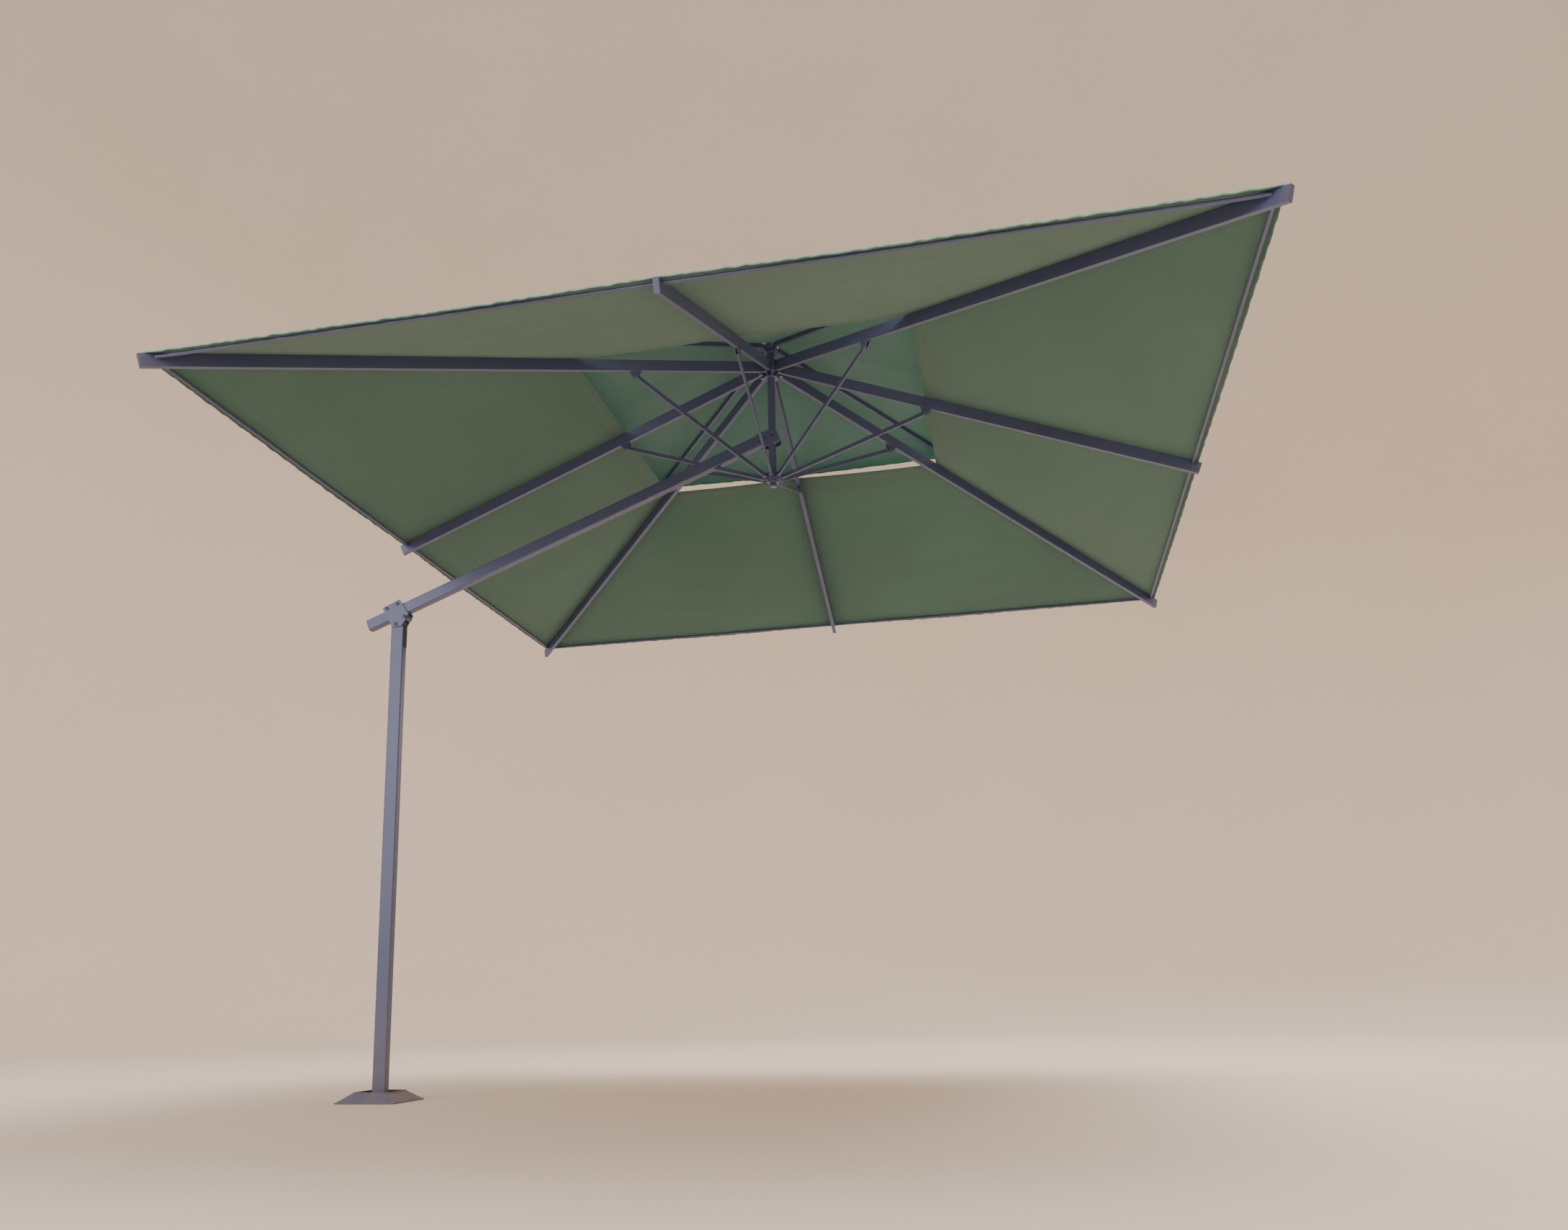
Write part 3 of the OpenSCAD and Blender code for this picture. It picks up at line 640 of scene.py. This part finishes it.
def close_pair(side_k, sign):
    """Closings of the side half and the corner half of one sector."""
    x = 1.25
    corner_k = (side_k + sign) % 8
    seam = seam_point(placer(side_k, sign), canopy_z, x, SPLIT * x)
    side = Half(side_k, sign, SIDE_SLOPE, RIB_R, RIB_Z, seam)
    corner = Half(corner_k, -sign, CORNER_SLOPE, RIB_R, RIB_Z, seam)
    side_shut = SIDE_SLOPE + FOLD * RATIOS["rib_%s_fold" % DIRS[side_k]]
    corner_shut = CORNER_SLOPE + FOLD * RATIOS["rib_%s_fold" % DIRS[corner_k]]
    half_sector = math.tan(math.radians(22.5))

    # The side half pulls in level, and the corner half rises to meet it.
    side_r = RIB_R + side.run * math.cos(side_shut) + side.rise * math.sin(side_shut)
    side_z = -side.run * math.sin(side_shut) + side.rise * math.cos(side_shut)
    surplus = side.width - side_r * half_sector
    side_closing = tuple(side.across), tuple(side.pivot), 1 - surplus / side.width

    rise = (side_z + corner.run * math.sin(corner_shut)) / math.cos(corner_shut)
    corner_r = RIB_R + corner.run * math.cos(corner_shut) + rise * math.sin(corner_shut)
    return side_closing, corner.flatten(corner_r * half_sector, rise, RIB_LIFT + CORNER_GAP)


def close_vent(k, sign):
    """Closing of one half of a vent top's corner."""
    seam = seam_point(placer((k + sign) % 8, -sign), vent_z, 0.50, 0.0)
    half = Half(k, sign, VENT_SLOPE, VENT_R, VENT_Z, seam)
    shut = VENT_SLOPE + FOLD * RATIOS["vent_%s_fold" % DIRS[k]]
    rise = half.rise * 0.30
    radius = VENT_R + half.run * math.cos(shut) + rise * math.sin(shut)
    return half.flatten(radius, rise, lift=0.009)


def fit_up(ob, body, closing, replaced=None):
    """Tie a piece to its moving body and give it its own mesh; hide the CAD piece it replaces."""
    direction, anchor, keep = closing
    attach(ob, body)
    max(0.02, min(1.0, keep))
    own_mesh(ob)
    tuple(direction)
    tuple(anchor)
    if replaced:
        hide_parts(replaced)


# ---------------------------------------------------------------- edge bars
BAR_X, BAR_RADIUS = 1.4795, 0.0050
BAR_DROP = 0.0125  # below the taut cloth
BAR_START = 0.0081  # from the rib's centre line to the bar's end
BAR_SIDES = 14
BAR_SQUARENESS = 3.0  # 2 is a round section, more is squarer


def bar_mesh(path):
    """A bar along a path, with a soft square section; returns verts, faces."""
    tilt = np.array([1.0, 0, -0.2])
    last = len(path) - 1
    verts = []
    for i, centre in enumerate(path):
        ahead = path[min(i + 1, last)] - path[max(i - 1, 0)]
        ahead /= np.linalg.norm(ahead)
        u = tilt - ahead * (tilt @ ahead)
        u /= np.linalg.norm(u)
        v = np.cross(ahead, u)
        for j in range(BAR_SIDES):
            angle = 2 * math.pi * (j + 0.5) / BAR_SIDES
            c, s = math.cos(angle), math.sin(angle)
            power = BAR_SQUARENESS
            reach = (abs(c) ** power + abs(s) ** power) ** (-1 / power)
            verts.append(centre + BAR_RADIUS * reach * (c * u + s * v))
    return np.array(verts), capped_faces(len(path), BAR_SIDES)


def edge_bar(tag, corner, place, sign):
    """From the rib's side to the end of its half."""
    if corner:
        y = np.linspace(SPLIT * BAR_X, BAR_X - BAR_START * ROOT2, 50)
    else:
        y = np.linspace(BAR_START, SPLIT * BAR_X, 40)
    z = taut_z(BAR_X, y) - BAR_DROP
    verts, faces = bar_mesh(np.stack([np.full_like(y, BAR_X), y, z], 1))
    if sign < 0:
        faces = [face[::-1] for face in faces]
    return new_mesh("edge_cord_" + tag, place(verts), faces, [BAR_PAINT], sharp=50)


# ---------------------------------------------------------------- sewing
STITCH_PITCH, STITCH_LENGTH = 0.0058, 0.0040
STITCH_HALF_WIDTH, STITCH_HEIGHT, STITCH_SINK = 0.00075, 0.00045, 0.0001
STITCH_MARGIN = 0.002  # left free at each end of a line
# Sections of a stitch: place along its length, size.
STITCH_SECTIONS = [(-0.5, 0.35), (-0.28, 1.0), (0.28, 1.0), (0.5, 0.35)]


def stitches(line, facing):
    """Small rounded threads on a line of points; facing is 1 on top, -1 underneath."""
    steps = np.linalg.norm(np.diff(line, axis=0), axis=1)
    along = np.concatenate([[0], np.cumsum(steps)])
    count = int((along[-1] - 2 * STITCH_MARGIN) / STITCH_PITCH)
    centres = STITCH_MARGIN + STITCH_PITCH * (np.arange(count) + 0.5)
    middles, nexts = (
        np.stack([np.interp(at, along, line[:, axis]) for axis in range(3)], 1)
        for at in (centres, centres + 0.001)
    )
    vertical = np.array([0, 0, float(facing)])
    verts, faces = [], []
    for middle, following in zip(middles, nexts):
        ahead = following - middle
        ahead /= np.linalg.norm(ahead)
        normal = vertical - ahead * (vertical @ ahead)
        normal /= np.linalg.norm(normal)
        side = np.cross(ahead, normal)
        first = len(verts)
        for place_along, size in STITCH_SECTIONS:
            centre = middle + ahead * place_along * STITCH_LENGTH
            foot = side * STITCH_HALF_WIDTH * size
            sink = normal * STITCH_SINK
            crown = normal * STITCH_HEIGHT * size
            verts += [centre - foot - sink, centre - foot * 0.6 + crown,
                      centre + foot * 0.6 + crown, centre + foot - sink]
        faces += ring_faces(4, 4, first=first, flip=True)
        faces.append(tuple(range(first, first + 4)))
        faces.append(tuple(range(first + 15, first + 11, -1)))
    return np.array(verts), faces


def hem_stitches(sheet, columns, x, facing, place, seed):
    y, from_rib = columns(x)
    used = from_rib >= 0.012
    face = sheet.top if facing > 0 else sheet.low
    z = sheet.height(x, y, seed) + face(x, from_rib)
    line = np.stack([np.full(used.sum(), x), y[used], z[used]], 1)
    return stitches(place(line), facing)


def tape_stitches(sheet, inset, points, offset, corner, place, seed):
    """A row on top of the tape, offset from the rib's centre line."""
    xs = np.linspace(sheet.start + inset, sheet.end - 0.008, points)
    ys = xs - offset * ROOT2 if corner else np.full_like(xs, offset)
    line = []
    for x, y in zip(xs, ys):
        z = sheet.height(x, np.array([y]), seed)[0] + sheet.top(x, np.array([offset]))[0]
        line.append((x, y, z))
    return stitches(place(np.array(line)), 1)


# ---------------------------------------------------------------- main canopy
MAIN = Sheet(canopy_z, HOLE, RIM, steps=34, inner_hem=0.022, outer_hem=0.032, tape=TAPE)
SIDE_COLUMNS = MAIN.columns(lambda x: SPLIT * x, count=60, corner=False)
CORNER_COLUMNS = MAIN.columns(lambda x: (1 - SPLIT) * x / ROOT2, count=80, corner=True)
# Rows of sewing along the hems: x, facing.
MAIN_HEM_ROWS = [
    (RIM - 0.0275, -1), (RIM - 0.0275, 1), (RIM - 0.0085, 1),
    (HOLE + 0.0175, -1), (HOLE + 0.0175, 1),
]


def canopy_half(side_k, sign, corner, closing):
    """Cloth, edge bar and sewing on one side of a rib."""
    k = (side_k + sign) % 8 if corner else side_k
    body = "rib_" + DIRS[k]
    tag = DIRS[k] + ("_a" if (sign > 0) != corner else "_b")
    seed = side_k + (0.5 if sign > 0 else 0.0)
    place = placer(side_k, sign)
    columns = CORNER_COLUMNS if corner else SIDE_COLUMNS

    cloth = cloth_mesh("cloth_" + tag, MAIN, columns, place, CLOTH_IN_SHADED, seed)
    fit_up(cloth, body, closing, "gore_" + DIRS[k])
    fit_up(edge_bar(tag, corner, place, sign), body, closing)

    parts = [hem_stitches(MAIN, columns, x, facing, place, seed) for x, facing in MAIN_HEM_ROWS]
    parts += [tape_stitches(MAIN, 0.004, 60, offset, corner, place, seed)
              for offset in (0.0045, 0.0105)]
    fit_up(new_mesh("stitching_" + tag, *join(parts), [THREAD]), body, closing)


for side_k in (0, 2, 4, 6):
    for sign in (1, -1):
        for corner, closing in zip((False, True), close_pair(side_k, sign)):
            canopy_half(side_k, sign, corner, closing)

# ---------------------------------------------------------------- vent top
VENT = Sheet(vent_z, VENT_HOLE, VENT_RIM, steps=20, inner_hem=0.012, outer_hem=0.026,
             tape=VENT_TAPE)
VENT_COLUMNS = VENT.columns(lambda x: x / ROOT2, count=54, corner=True)


def vent_half(k, sign):
    """Cloth and sewing on one side of a vent rib."""
    body = "vent_" + DIRS[k]
    tag = DIRS[k] + ("_a" if sign > 0 else "_b")
    seed = 11 + k + (0.5 if sign > 0 else 0.0)
    place = placer((k + sign) % 8, -sign)
    closing = close_vent(k, sign)
    cloth = cloth_mesh("vent_cloth_" + tag, VENT, VENT_COLUMNS, place, VENT_CLOTH_IN_SHADED_LIT, seed)
    fit_up(cloth, body, closing, "vent_gore_" + DIRS[k])

    parts = [hem_stitches(VENT, VENT_COLUMNS, VENT_RIM - 0.0215, facing, place, seed)
             for facing in (-1, 1)]
    parts.append(tape_stitches(VENT, 0.03, 40, 0.0065, True, place, seed))
    thread = new_mesh("vent_stitching_" + tag, *join(parts), [THREAD])
    fit_up(thread, body, closing)


for k in (1, 3, 5, 7):
    for sign in (1, -1):
        vent_half(k, sign)

# ---------------------------------------------------------------- strut pins in the lower hub
PIN_CIRCLE, PIN_Z = 0.038, 2.252
PIN_LENGTH, PIN_RADIUS = 0.0150, 0.0024
PIN_HEAD_RADIUS, PIN_HEAD_DEPTH = 0.0042, 0.0016
PIN_SEGMENTS = 20
# Domed head, tip first: share of the head's depth, share of its radius.
PIN_HEAD = [(1, 0.0), (0.92, 0.45), (0.6, 0.82), (0.15, 1), (0, 0.98)]


def rivet():
    """A pin along Y with a domed head at each end."""
    end = [(-PIN_LENGTH / 2 - PIN_HEAD_DEPTH * depth, PIN_HEAD_RADIUS * size)
           for depth, size in PIN_HEAD]
    end.append((-PIN_LENGTH / 2, PIN_RADIUS))
    profile = end + [(-y, radius) for y, radius in reversed(end)]
    angles = [2 * math.pi * j / PIN_SEGMENTS for j in range(PIN_SEGMENTS)]
    verts = [(r * math.cos(a), y, r * math.sin(a)) for y, r in profile for a in angles]
    return np.array(verts), ring_faces(len(profile), PIN_SEGMENTS, flip=True)


def strut_pins():
    verts, faces = rivet()
    parts = []
    for k in range(8):
        azimuth = math.radians(45 * k)
        c, s = math.cos(azimuth), math.sin(azimuth)
        turn = np.array([[c, -s, 0], [s, c, 0], [0, 0, 1]])
        centre = np.array([POLE_X + PIN_CIRCLE * c, PIN_CIRCLE * s, PIN_Z])
        parts.append((verts @ turn.T + centre, faces))
    pins = new_mesh("strut_pins", *join(parts), [RIVET_PAINT], sharp=35, tidy=True, weld=1e-6)
    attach(pins, "runner")


strut_pins()


# ---------------------------------------------------------------- small soft pieces
def slab(name, outline, place, bottom, top, bevel, mat):
    """A thin sheet: a convex outline (u, v) from bottom to top, its outer edges bevelled."""
    outline = np.asarray(outline, float)
    middle = outline.mean(0)
    spokes = outline - middle
    reach = np.maximum(np.abs(spokes).max(0), 1e-6)
    verts = []
    for inset, t in ((bevel, bottom), (0.0, bottom + bevel), (0.0, top - bevel), (bevel, top)):
        verts += [place(u, v, t) for u, v in middle + spokes * (1 - inset / reach)]
    return new_mesh(name, verts, capped_faces(4, len(outline)), [mat], sharp=50, tidy=True)


def rounded_box(u0, u1, v0, v1, radius, steps=6):
    points = []
    corners = ((u1 - radius, v1 - radius, 0), (u0 + radius, v1 - radius, 90),
               (u0 + radius, v0 + radius, 180), (u1 - radius, v0 + radius, 270))
    for u, v, start in corners:
        for i in range(steps + 1):
            angle = math.radians(start + 90 * i / steps)
            points.append((u + radius * math.cos(angle), v + radius * math.sin(angle)))
    return points


def mast_point(u, v, t):
    """On the mast's +X face: u across, v up, t out from it."""
    mast_half_width = 0.026
    return mast_half_width + t, u, v


def guard_strip():
    outline = rounded_box(-0.0135, 0.0135, 1.712, 1.806, radius=0.003)
    # Its dark green finish is painted canopy shade and reflection.
    strip = slab("mast_guard_strip", outline, mast_point,
                 bottom=0.00003, top=0.0018, bevel=0.0005, mat=SHADED_GREEN_STRIP_FINISH)
    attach(strip, "mast")


ARM_SLOPE, ARM_Z = math.radians(20.43), 1.858
SLOT_HALF_WIDTH = 0.0055
LIP_HALF_WIDTH = SLOT_HALF_WIDTH - 0.00005
# Lips over the arm's slots: name, start and end along the arm, bottom and top from its axis.
ARM_SLOTS = [
    ("bottom", 1.102, 1.384, -0.0219, -0.0203),
    ("top", 1.165, 1.334, 0.0203, 0.0219),
]


def arm_point(u, v, t):
    """On the arm: u along, v across, t above its axis."""
    c, s = math.cos(ARM_SLOPE), math.sin(ARM_SLOPE)
    return c * u - s * t, v, ARM_Z + s * u + c * t


def slot_lip(tag, sign, start, end, bottom, top):
    """One half of the cover over a slot, on the +Y side for sign 1."""
    radius = LIP_HALF_WIDTH
    outline = [(end - SLOT_HALF_WIDTH + radius * math.cos(a), radius * math.sin(a))
               for a in np.linspace(0.04, math.pi / 2, 9)]
    outline += [(start + SLOT_HALF_WIDTH - radius * math.sin(a), radius * math.cos(a))
                for a in np.linspace(0.0, math.pi / 2 - 0.04, 9)]
    outline = [(u, sign * max(v, 0.00015)) for u, v in outline]
    name = "arm_slot_lip_%s_%s" % (tag, "a" if sign > 0 else "b")
    lip = slab(name, outline, arm_point, bottom, top, bevel=0.0002, mat=MOULDED)
    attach(lip, "arm")
    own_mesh(lip)


guard_strip()
for tag, *extents in ARM_SLOTS:
    for sign in (1, -1):
        slot_lip(tag, sign, *extents)


# ---------------------------------------------------------------- the room
def studio_floor():
    """A round floor that curves up into a wall."""
    centre_x, drop, segments = 1.2, 0.0006, 96
    flat, cove, wall_top = 7.5, 4.5, 16.0
    wall = flat + cove
    profile = [(4.0, 0.0), (flat, 0.0)]  # radius, height
    profile += [(flat + cove * math.sin(a), cove * (1 - math.cos(a)))
                for a in np.linspace(0.06, math.pi / 2, 22)]
    profile += [(wall, 9.0), (wall, wall_top)]
    verts = [(centre_x, 0.0, -drop)]
    for radius, z in profile:
        for j in range(segments):
            a = 2 * math.pi * j / segments
            verts.append((centre_x + radius * math.cos(a), radius * math.sin(a), z - drop))
    faces = [(0, 1 + j, 1 + (j + 1) % segments) for j in range(segments)]
    faces += ring_faces(len(profile), segments, first=1, flip=True)
    new_mesh("studio_floor", verts, faces, [pale_floor()])


def soft_world():
    world = bpy.data.worlds.new("soft_world")
    bpy.context.scene.world = world
    world.use_nodes = True
    background = world.node_tree.nodes["Background"]
    background.inputs["Color"].default_value = (*srgb(226, 226, 230), 1)
    background.inputs["Strength"].default_value = 0.95


def area_light(name, place, target, size, power, colour):
    light = bpy.data.lights.new(name, "AREA")
    light.shape = "RECTANGLE"
    light.size, light.size_y = size
    light.energy = power
    light.color = colour
    ob = bpy.data.objects.new(name, light)
    ob.location = place
    ob.rotation_mode = "QUATERNION"
    ob.rotation_quaternion = (Vector(target) - Vector(place)).to_track_quat("-Z", "Y")
    bpy.context.scene.collection.objects.link(ob)


def camera():
    """Low at the front, looking back and slightly up."""
    data = bpy.data.cameras.new("camera")
    data.sensor_fit = "HORIZONTAL"
    data.sensor_width = 36.0
    data.lens = 27.905
    data.shift_x = 0.0200
    data.shift_y = 0.0928
    data.clip_end = 60.0
    ob = bpy.data.objects.new("camera", data)
    bpy.context.scene.collection.objects.link(ob)
    forward = Vector((-0.20761, 0.95854, 0.19519)).normalized()
    up = Vector((0.05851, -0.18702, 0.98058))
    right = forward.cross(up).normalized()
    up = right.cross(forward).normalized()
    pose = Matrix((right, up, -forward)).transposed().to_4x4()
    pose.translation = Vector((2.31204, -4.17295, 0.32980))
    ob.matrix_world = pose
    bpy.context.scene.camera = ob


studio_floor()
soft_world()
area_light("key_top", place=(3.6, 1.2, 8.5), target=(1.6, 0.0, 1.5), size=(5.0, 5.0),
           power=620.0, colour=(1.0, 0.985, 0.96))
area_light("fill_front", place=(-2.6, -7.6, 3.4), target=(1.0, 0.0, 1.6), size=(5.0, 4.0),
           power=310.0, colour=(0.84, 0.91, 1.0))
area_light("rim_back", place=(4.5, 7.5, 4.5), target=(1.4, 0.0, 2.0), size=(4.0, 3.0),
           power=90.0, colour=(1.0, 0.96, 0.92))
camera()
